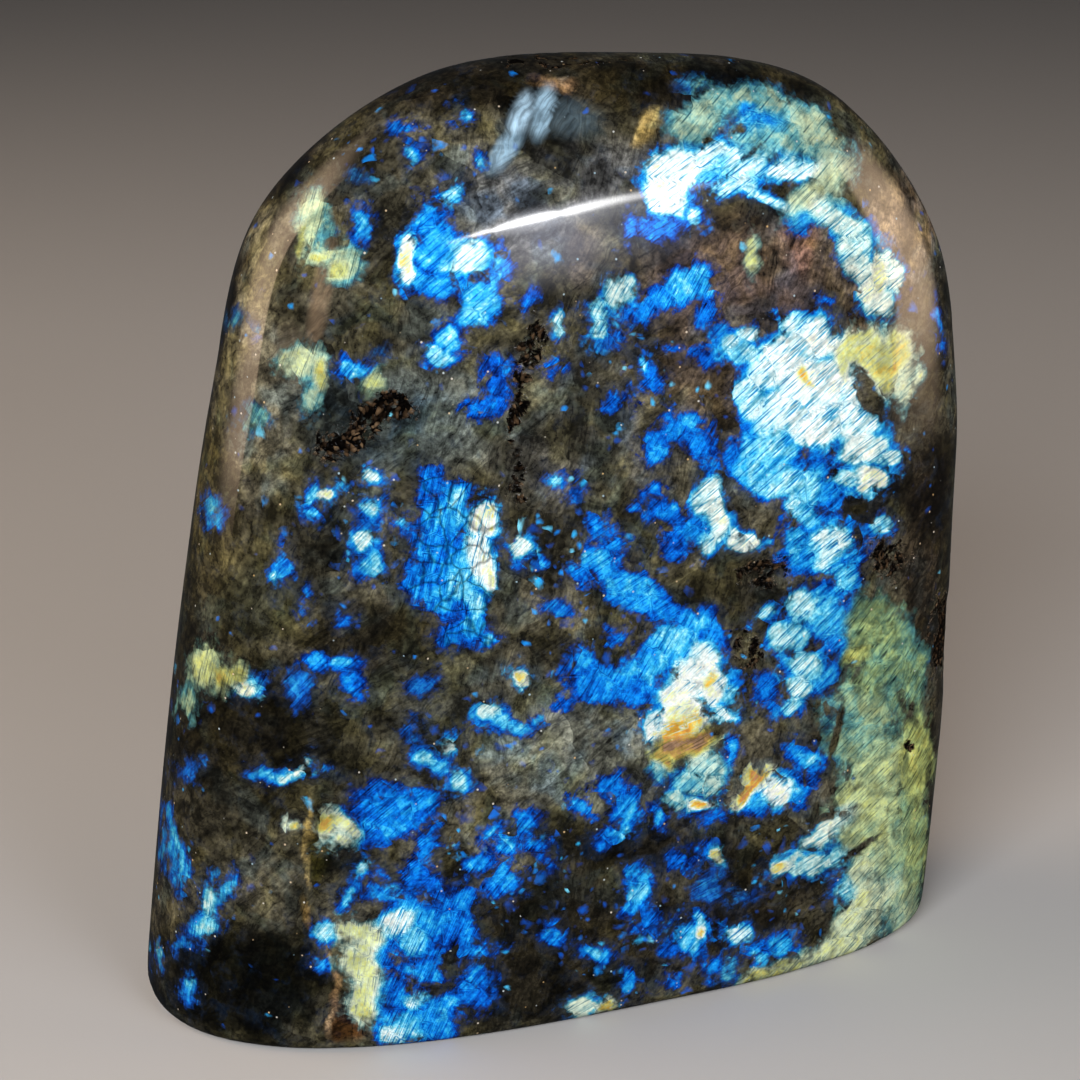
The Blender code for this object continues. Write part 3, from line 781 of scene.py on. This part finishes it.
def labradorite():
    material = bpy.data.materials.new("polished labradorite")
    material.use_nodes = True
    tree = material.node_tree
    shader = tree.nodes["Principled BSDF"]
    place = addNode(tree, "TexCoord").outputs["Object"]
    flash, warmth, dull, crackle, veilShare, fleckShare, rough = [
        addNode(tree, "Attribute", attribute_name=name).outputs["Fac"]
        for name in ("flash", "warmth", "dull", "crackle", "veilShare", "flecks", "fissure")
    ]
    grainPlace = addNode(tree, "Attribute", attribute_name="grainSpace").outputs["Vector"]
    # The ground colour read here holds painted reflections and painted shade from the zones, as well as the
    # stone's own tones.
    groundPaint = addNode(tree, "Attribute", attribute_name="ground").outputs["Color"]
    veilPaint = addNode(tree, "Attribute", attribute_name="veil").outputs["Color"]

    # The place, pushed about a little so that nothing runs in straight cells.
    push = addNode(tree, "TexNoise", {"Vector": place, "Scale": perMm(polish["pushMm"]), "Detail": 2.0})
    push = addNode(tree, "VectorMath", {0: push.outputs["Color"], 1: (0.5, 0.5, 0.5)}, operation="SUBTRACT")
    reach = [polish["pushReachMm"] * mm] * 3
    pushed = addNode(tree, "VectorMath", {0: push, 1: reach, 2: place}, operation="MULTIPLY_ADD")

    # Ground: cleavage fragments, each with its own tone and its own run of fine lines and dark seams.
    fragment = addNode(tree, "TexVoronoi", {"Vector": pushed, "Scale": perMm(polish["fragmentMm"])})
    fragmentDice = addNode(tree, "SeparateColor", {0: fragment.outputs["Color"]})
    lowTurn, highTurn = [math.radians(degrees) for degrees in polish["striationTurns"]]
    lineTurn = addNode(tree, "MapRange", {"Value": fragmentDice, "To Min": lowTurn, "To Max": highTurn})
    turned = addNode(tree, "VectorRotate", {"Vector": pushed, "Axis": (0, 1, 0), "Angle": lineTurn})
    striped = addNode(tree, "VectorMath", {
        0: turned, 1: [perMm(size) for size in polish["striationMm"]]}, operation="MULTIPLY")
    stripes = addNode(tree, "TexNoise", {"Vector": striped, "Scale": 1.0, "Detail": 3.0, "Roughness": 0.6})
    seamed = addNode(tree, "VectorMath", {
        0: turned, 1: [perMm(size) for size in polish["seamMm"]]}, operation="MULTIPLY")
    seam = addNode(tree, "TexNoise", {"Vector": seamed, "Scale": 1.0, "Detail": 1.0, "Roughness": 0.5})
    seam = addNode(tree, "Math", {0: seam, 1: 0.5}, operation="SUBTRACT")
    seam = addNode(tree, "Math", {0: seam}, operation="ABSOLUTE")
    cloud = addNode(tree, "TexNoise", {
        "Vector": pushed, "Scale": perMm(polish["cloudMm"]),
        "Detail": 5.0, "Roughness": 0.6, "Distortion": 0.4})
    patches = addNode(tree, "TexNoise", {
        "Vector": place, "Scale": perMm(polish["patchMm"]),
        "Detail": 4.0, "Roughness": 0.62, "Distortion": 0.6})
    speckle = addNode(tree, "TexNoise", {
        "Vector": place, "Scale": perMm(polish["grainMm"]), "Detail": 3.0, "Roughness": 0.72})
    light = 1.0
    layers = (cloud, fragmentDice.outputs[1], stripes, patches, speckle, seam)
    for layer, (low, high, dark, pale) in zip(layers, groundLayers.values()):
        share = addNode(tree, "MapRange", {
            "Value": layer, "From Min": low, "From Max": high, "To Min": dark, "To Max": pale})
        light = addNode(tree, "Math", {0: light, 1: share}, operation="MULTIPLY")
    for size, low, high, tint in ((polish["oliveMm"], 0.46, 0.60, polish["oliveTint"]),
                                  (polish["blueMm"], 0.51, 0.62, polish["blueTint"])):
        drifting = addNode(tree, "TexNoise", {
            "Vector": pushed, "Scale": perMm(size), "Detail": 2.0, "Roughness": 0.6, "Distortion": 0.3})
        share = addNode(tree, "MapRange", {
            "Value": drifting,
            "From Min": low, "From Max": high, "To Min": 0.0, "To Max": polish["tintMost"]})
        groundPaint = addNode(tree, "Mix", {
            0: share, 6: groundPaint, 7: tint}, data_type="RGBA", blend_type="MULTIPLY").outputs[2]
    groundPaint = addNode(tree, "VectorMath", {0: groundPaint, 3: light}, operation="SCALE")
    # Veils lie over it, drawn out along the fine lines.
    share = addNode(tree, "MapRange", {
        "Value": stripes, "From Min": 0.36, "From Max": 0.62, "To Min": 0.45, "To Max": 1.0})
    share = addNode(tree, "Math", {0: share, 1: veilShare}, operation="MULTIPLY")
    dark, pale = polish["veilLight"]
    veilLight = addNode(tree, "MapRange", {
        "Value": patches, "From Min": 0.38, "From Max": 0.62, "To Min": dark, "To Max": pale})
    veilPaint = addNode(tree, "VectorMath", {0: veilPaint, 3: veilLight}, operation="SCALE")
    groundPaint = addNode(tree, "Mix", {
        0: share, 6: groundPaint, 7: veilPaint}, data_type="RGBA").outputs[2]

    # Flash: the stored distance in from a grain's border, in mm, made ragged.
    border = addNode(tree, "TexNoise", {
        "Vector": pushed, "Scale": perMm(polish["borderMm"]), "Detail": 3.0, "Roughness": 0.6})
    borderFine = addNode(tree, "TexNoise", {
        "Vector": place, "Scale": perMm(polish["borderFineMm"]), "Detail": 2.0})
    shard = addNode(tree, "TexVoronoi", {"Vector": pushed, "Scale": perMm(polish["shardMm"])})
    shardDice = addNode(tree, "SeparateColor", {0: shard.outputs["Color"]})
    inward = flash
    for wobble, most in zip((border, borderFine, shardDice), polish["borderReach"]):
        shift = addNode(tree, "MapRange", {"Value": wobble, "To Min": -most, "To Max": most})
        inward = addNode(tree, "Math", {0: inward, 1: shift}, operation="ADD")
    inBright, inDull = polish["edgeFrom"]
    edgeFrom = addNode(tree, "MapRange", {"Value": dull, "To Min": inBright, "To Max": inDull})
    inBright, inDull = polish["edgeTo"]
    edgeTo = addNode(tree, "MapRange", {"Value": dull, "To Min": inBright, "To Max": inDull})
    flashShare = addNode(tree, "MapRange", {
        "Value": inward, "From Min": edgeFrom, "From Max": edgeTo}, interpolation_type="SMOOTHSTEP")

    # Heat, the place on the colour ramps, cools towards a bright grain's border and wanders inside it.
    lamellaPlace = addNode(tree, "VectorMath", {
        0: grainPlace, 1: [1 / size for size in polish["lamellaMm"]] + [1.0]}, operation="MULTIPLY")
    lamella = addNode(tree, "TexNoise", {
        "Vector": lamellaPlace, "Scale": 1.0, "Detail": 3.0, "Roughness": 0.62, "Distortion": 0.8})
    hairlinePlace = addNode(tree, "VectorMath", {
        0: grainPlace, 1: [1 / size for size in polish["hairlineMm"]] + [1.0]}, operation="MULTIPLY")
    hairline = addNode(tree, "TexNoise", {
        "Vector": hairlinePlace, "Scale": 1.0, "Detail": 2.0, "Roughness": 0.62, "Distortion": 0.5})
    mottle = addNode(tree, "TexNoise", {
        "Vector": pushed, "Scale": perMm(polish["mottleMm"]), "Detail": 3.0, "Roughness": 0.65})
    grit = addNode(tree, "TexNoise", {
        "Vector": place, "Scale": perMm(polish["gritMm"]),
        "Detail": 2.0, "Roughness": 0.65, "Distortion": 0.6})
    cooler = addNode(tree, "MapRange", {
        "Value": inward,
        "From Min": -0.2, "From Max": 1.8, "To Min": polish["borderCooling"], "To Max": 0.0})
    bright = addNode(tree, "Math", {0: 1.0, 1: dull}, operation="SUBTRACT")
    cooler = addNode(tree, "Math", {0: cooler, 1: bright}, operation="MULTIPLY")
    heat = addNode(tree, "Math", {0: warmth, 1: cooler}, operation="ADD")
    hot = addNode(tree, "MapRange", {"Value": warmth, "From Min": 0.42, "From Max": 0.64})
    steady = addNode(tree, "MapRange", {"Value": hot, "To Min": 1.0, "To Max": polish["steadyWhenHot"]})
    for wander, most in zip((lamella, mottle, grit, shardDice.outputs[1]), polish["heatReach"]):
        shift = addNode(tree, "MapRange", {"Value": wander, "To Min": -most, "To Max": most})
        shift = addNode(tree, "Math", {0: shift, 1: steady}, operation="MULTIPLY")
        heat = addNode(tree, "Math", {0: heat, 1: shift}, operation="ADD")

    # Dark hairlines run along a grain, most where it is hot or dull. In a bright grain they are blue.
    lined = addNode(tree, "Math", {0: hot, 1: dull}, operation="MAXIMUM")
    lined = addNode(tree, "MapRange", {"Value": lined, "To Min": 0.5, "To Max": 1.0})
    hairlines = addNode(tree, "MapRange", {
        "Value": hairline, "From Min": 0.34, "From Max": 0.47, "To Min": 1.0, "To Max": 0.0})
    hairlines = addNode(tree, "Math", {0: hairlines, 1: lined}, operation="MULTIPLY")
    coolLines = addNode(tree, "Math", {0: hairlines, 1: bright}, operation="MULTIPLY")
    coolLines = addNode(tree, "Math", {0: coolLines, 1: polish["hairlineCooling"]}, operation="MULTIPLY")
    heat = addNode(tree, "Math", {0: heat, 1: coolLines}, operation="SUBTRACT")
    brightPaint = addNode(tree, "ValToRGB", {0: heat}, stops=brightStops)
    dullPaint = addNode(tree, "ValToRGB", {0: heat}, stops=dullStops)
    flashPaint = addNode(tree, "Mix", {0: dull, 6: brightPaint, 7: dullPaint}, data_type="RGBA").outputs[2]

    # How far each layer darkens the flash, with a net of cracks across some grains.
    inBright, inDull = polish["hairlineDark"]
    lineLight = addNode(tree, "MapRange", {"Value": dull, "To Min": inBright, "To Max": inDull})
    lineLight = addNode(tree, "Math", {0: hairlines, 1: lineLight}, operation="MULTIPLY")
    lineLight = addNode(tree, "Math", {0: 1.0, 1: lineLight}, operation="SUBTRACT")
    streaks = addNode(tree, "MapRange", {
        "Value": lamella,
        "From Min": 0.34, "From Max": 0.50, "To Min": polish["streakLight"], "To Max": 1.0})
    dark, pale = polish["gritLight"]
    glitter = addNode(tree, "MapRange", {
        "Value": grit, "From Min": 0.34, "From Max": 0.56, "To Min": dark, "To Max": pale})
    depth = addNode(tree, "MapRange", {
        "Value": inward,
        "From Min": -0.2, "From Max": 2.0, "To Min": polish["borderLight"], "To Max": 1.0})
    crackEdge = addNode(tree, "TexVoronoi", {
        "Vector": pushed, "Scale": perMm(polish["crackleMm"])}, feature="DISTANCE_TO_EDGE")
    crack = addNode(tree, "MapRange", {
        "Value": crackEdge,
        "From Min": 0.01, "From Max": 0.07, "To Min": polish["crackDark"], "To Max": 0.0})
    crack = addNode(tree, "Math", {0: crack, 1: crackle}, operation="MULTIPLY")
    whole = addNode(tree, "Math", {0: 1.0, 1: crack}, operation="SUBTRACT")
    inBright, inDull = polish["shadeLight"]
    deepest = addNode(tree, "MapRange", {"Value": dull, "To Min": inBright, "To Max": inDull})
    shaded = addNode(tree, "MapRange", {
        "Value": patches,
        "From Min": 0.40, "From Max": 0.60, "To Min": deepest, "To Max": polish["shadePale"]})
    flashLight = 1.0
    for layer in (lineLight, streaks, glitter, depth, whole, shaded):
        flashLight = addNode(tree, "Math", {0: flashLight, 1: layer}, operation="MULTIPLY")
    flashPaint = addNode(tree, "VectorMath", {0: flashPaint, 3: flashLight}, operation="SCALE")

    # Round a flash the smoke itself glows blue. Small flecks light up, one to a cell, and most stay dark.
    haze = addNode(tree, "MapRange", {
        "Value": inward,
        "From Min": -2.6, "From Max": 0.3, "To Min": 0.0, "To Max": polish["hazeMost"]})
    haze = addNode(tree, "Math", {0: haze, 1: bright}, operation="MULTIPLY")
    hazeLight = addNode(tree, "MapRange", {
        "Value": patches, "From Min": 0.38, "From Max": 0.62, "To Min": 0.15, "To Max": 1.2})
    hazePaint = addNode(tree, "VectorMath", {
        0: linearColour(polish["hazeColour"])[:3], 3: hazeLight}, operation="SCALE")
    paint = addNode(tree, "Mix", {0: haze, 6: groundPaint, 7: hazePaint}, data_type="RGBA").outputs[2]
    softly = addNode(tree, "MapRange", {"Value": mottle, "To Min": -0.65, "To Max": 0.65})
    for size, quiet in ((polish["fleckMm"], 1.0), (polish["smallFleckMm"], 0.8)):
        cell = addNode(tree, "TexVoronoi", {"Vector": pushed, "Scale": perMm(size)})
        dice = addNode(tree, "SeparateColor", {0: cell.outputs["Color"]})
        limit = addNode(tree, "Math", {0: fleckShare, 1: quiet}, operation="MULTIPLY")
        lit = addNode(tree, "Math", {0: dice, 1: limit}, operation="LESS_THAN")
        low, high = polish["fleckRadius"]
        radius = addNode(tree, "MapRange", {"Value": dice.outputs[2], "To Min": low, "To Max": high})
        fromMiddle = addNode(tree, "Math", {0: cell.outputs["Distance"], 1: softly}, operation="ADD")
        inside = addNode(tree, "Math", {0: radius, 1: fromMiddle}, operation="SUBTRACT")
        inside = addNode(tree, "MapRange", {
            "Value": inside, "From Min": -0.12, "From Max": 0.55}, interpolation_type="SMOOTHSTEP")
        share = addNode(tree, "Math", {0: lit, 1: inside}, operation="MULTIPLY")
        fleckHeat = addNode(tree, "Math", {0: dice.outputs[1], 1: 3.0}, operation="POWER")
        low, high = polish["fleckHeat"]
        fleckHeat = addNode(tree, "MapRange", {"Value": fleckHeat, "To Min": low, "To Max": high})
        fleckPaint = addNode(tree, "ValToRGB", {0: fleckHeat}, stops=brightStops)
        low, high = polish["fleckStrength"]
        strength = addNode(tree, "MapRange", {"Value": dice.outputs[1], "To Min": low, "To Max": high})
        share = addNode(tree, "Math", {0: share, 1: strength}, operation="MULTIPLY")
        paint = addNode(tree, "Mix", {0: share, 6: paint, 7: fleckPaint}, data_type="RGBA").outputs[2]
    paint = addNode(tree, "Mix", {0: flashShare, 6: paint, 7: flashPaint}, data_type="RGBA").outputs[2]

    # Sparks: the odd tiny inclusion of brass or white that catches the light.
    spark = addNode(tree, "TexVoronoi", {"Vector": place, "Scale": perMm(polish["sparkleMm"])})
    sparkDice = addNode(tree, "SeparateColor", {0: spark.outputs["Color"]})
    lit = addNode(tree, "Math", {0: sparkDice, 1: polish["sparkAbove"]}, operation="GREATER_THAN")
    inside = addNode(tree, "MapRange", {
        "Value": spark.outputs["Distance"],
        "From Min": 0.18, "From Max": 0.36, "To Min": polish["sparkStrength"], "To Max": 0.0})
    share = addNode(tree, "Math", {0: lit, 1: inside}, operation="MULTIPLY")
    sparkPaint = addNode(tree, "ValToRGB", {0: sparkDice.outputs[1]}, stops=sparkStops)
    paint = addNode(tree, "Mix", {0: share, 6: paint, 7: sparkPaint}, data_type="RGBA").outputs[2]

    # Fissures: dark gravel with tan crumbs. crumbShade darkens each crumb towards its edge, painted shade
    # between the crumbs, and also sets their bump.
    crumb = addNode(tree, "TexVoronoi", {"Vector": pushed, "Scale": perMm(polish["crumbMm"])})
    crumbDice = addNode(tree, "SeparateColor", {0: crumb.outputs["Color"]})
    crumbPaint = addNode(tree, "ValToRGB", {0: crumbDice}, stops=crumbStops)
    crumbShade = addNode(tree, "MapRange", {
        "Value": crumb.outputs["Distance"],
        "From Min": 0.1, "From Max": 0.8, "To Min": 1.0, "To Max": polish["crumbShade"]})
    crumbPaint = addNode(tree, "VectorMath", {0: crumbPaint, 3: crumbShade}, operation="SCALE")
    ragged = addNode(tree, "MapRange", {"Value": mottle, "To Min": -1.3, "To Max": 1.3})
    ragged = addNode(tree, "Math", {0: rough, 1: ragged}, operation="ADD")
    ragged = addNode(tree, "MapRange", {"Value": ragged, "From Min": 0.38, "From Max": 0.62})
    within = addNode(tree, "MapRange", {"Value": rough, "From Min": 0.0, "From Max": 0.3})
    fissureShare = addNode(tree, "Math", {0: ragged, 1: within}, operation="MULTIPLY")
    paint = addNode(tree, "Mix", {0: fissureShare, 6: paint, 7: crumbPaint}, data_type="RGBA").outputs[2]
    tree.links.new(paint, shader.inputs["Base Color"])

    glow = addNode(tree, "Math", {0: flashShare, 1: bright}, operation="MULTIPLY")
    glow = addNode(tree, "Math", {0: glow, 1: polish["flashMetallic"]}, operation="MULTIPLY")
    roughness = addNode(tree, "MapRange", {
        "Value": fissureShare, "To Min": polish["groundRoughness"], "To Max": polish["fissureRoughness"]})
    coat = addNode(tree, "MapRange", {
        "Value": fissureShare, "To Min": 1.0, "To Max": polish["fissureCoat"]})
    height = addNode(tree, "Math", {0: crumbShade, 1: fissureShare}, operation="MULTIPLY")
    relief = addNode(tree, "Bump", {
        "Height": height, "Strength": 0.8, "Distance": polish["fissureReliefMm"] * mm})
    for name, node in (("Metallic", glow), ("Roughness", roughness), ("Coat Weight", coat),
                       ("Normal", relief), ("Coat Normal", relief)):
        tree.links.new(node.outputs[0], shader.inputs[name])
    shader.inputs["IOR"].default_value = polish["ior"]
    shader.inputs["Specular IOR Level"].default_value = polish["underCoatGloss"]
    shader.inputs["Coat IOR"].default_value = polish["ior"]
    shader.inputs["Coat Roughness"].default_value = polish["coatRoughness"]
    return material


stoneMesh.materials.clear()
stoneMesh.materials.append(labradorite())
stone = bpy.data.objects.new("polishedStone", stoneMesh)
bpy.context.scene.collection.objects.link(stone)
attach(stone, "root")
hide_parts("stone")
print("stone dressed")

# A plain pale floor, and soft studio light: a broad key and fill that the polish doesn't mirror, a thin
# strip in front that draws a streak along the top of the front with a soft glow round it, and a wide warm
# lamp at each side, which the two rims mirror.
studio = {
    "floorHalf": 6.0,
    "floorColour": "#b9b8b6",
    "floorRoughness": 0.8,
    "worldColour": "#5a5c60",
    "worldStrength": 0.22,
    "aim": (0, 0, 75 * mm),
}
# Turn and rise in degrees, distance, width and height in metres, watts and colour. The polish mirrors only
# the lamps that fade at their edges, over these shares: of the width from the left and from the right, and
# of the height from the foot and from the top.
lamps = {
    "key": (-34, 24, 0.9, 0.45, 0.45, 9.0, "#fbfcff", None),
    "fill": (28, 20, 1.0, 0.6, 0.6, 3.6, "#f0f5ff", None),
    "streak": (16.5, 25.1, 0.9, 0.54, 0.038, 2.7, "#ffffff", (0.45, 0.45, 0.45, 0.45)),
    "glow": (17.5, 24.3, 0.95, 0.52, 0.12, 1.3, "#f4f6ff", (0.45, 0.45, 0.45, 0.45)),
    "haze": (20, 18, 1.0, 0.46, 0.34, 2.1, "#e4e4f4", (0.45, 0.45, 0.45, 0.45)),
    "leftWindow": (-113, 26, 0.9, 0.72, 1.25, 11.0, "#ffdcb8", (0.7, 0.04, 0.2, 0.25)),
    "rightWindow": (80, 8, 0.9, 0.60, 0.70, 6.0, "#ffdcb8", (0.08, 0.6, 0.3, 0.3)),
}


def fadeEdges(lampData, fades):
    lampData.use_nodes = True
    tree = lampData.node_tree
    sides = addNode(tree, "SeparateXYZ", {0: addNode(tree, "NewGeometry").outputs["Parametric"]})
    strength = 1.0
    for axis, fromLow, fromHigh in ((0, fades[0], fades[1]), (1, fades[2], fades[3])):
        for start, end in ((0.0, fromLow), (1.0, 1.0 - fromHigh)):
            fade = addNode(tree, "MapRange", {
                "Value": sides.outputs[axis], "From Min": start, "From Max": end,
            }, interpolation_type="SMOOTHSTEP")
            strength = addNode(tree, "Math", {0: strength, 1: fade}, operation="MULTIPLY")
    tree.links.new(strength.outputs[0], tree.nodes["Emission"].inputs["Strength"])


for name, (lampTurn, lampRise, distance, width, height, watts, colour, fades) in lamps.items():
    lampTurn, lampRise = math.radians(lampTurn), math.radians(lampRise)
    level = math.cos(lampRise)
    way = Vector((math.sin(lampTurn) * level, -math.cos(lampTurn) * level, math.sin(lampRise)))
    lampData = bpy.data.lights.new(name, "AREA")
    lampData.shape = "RECTANGLE"
    lampData.size, lampData.size_y = width, height
    lampData.energy = watts
    lampData.color = linearColour(colour)[:3]
    if fades:
        fadeEdges(lampData, fades)
    lamp = bpy.data.objects.new(name, lampData)
    lamp.location = Vector(studio["aim"]) + way * distance
    lamp.rotation_euler = way.to_track_quat("Z", "Y").to_euler()
    lamp.visible_glossy = bool(fades)
    bpy.context.scene.collection.objects.link(lamp)

bm = bmesh.new()
bmesh.ops.create_grid(bm, x_segments=2, y_segments=2, size=studio["floorHalf"])
floorMesh = bpy.data.meshes.new("floor")
bm.to_mesh(floorMesh)
bm.free()
floor = bpy.data.objects.new("floor", floorMesh)
bpy.context.scene.collection.objects.link(floor)
floorPaint = bpy.data.materials.new("matt board")
floorPaint.use_nodes = True
floorShader = floorPaint.node_tree.nodes["Principled BSDF"]
floorShader.inputs["Base Color"].default_value = linearColour(studio["floorColour"])
floorShader.inputs["Roughness"].default_value = studio["floorRoughness"]
floorMesh.materials.append(floorPaint)
floor.visible_glossy = False  # so that its mirror image doesn't grey the polish near the foot

world = bpy.data.worlds.new("studio")
world.use_nodes = True
world.node_tree.nodes["Background"].inputs[0].default_value = linearColour(studio["worldColour"])
world.node_tree.nodes["Background"].inputs[1].default_value = studio["worldStrength"]
bpy.context.scene.world = world
bpy.context.scene.view_settings.view_transform = "Standard"
print("studio ready")
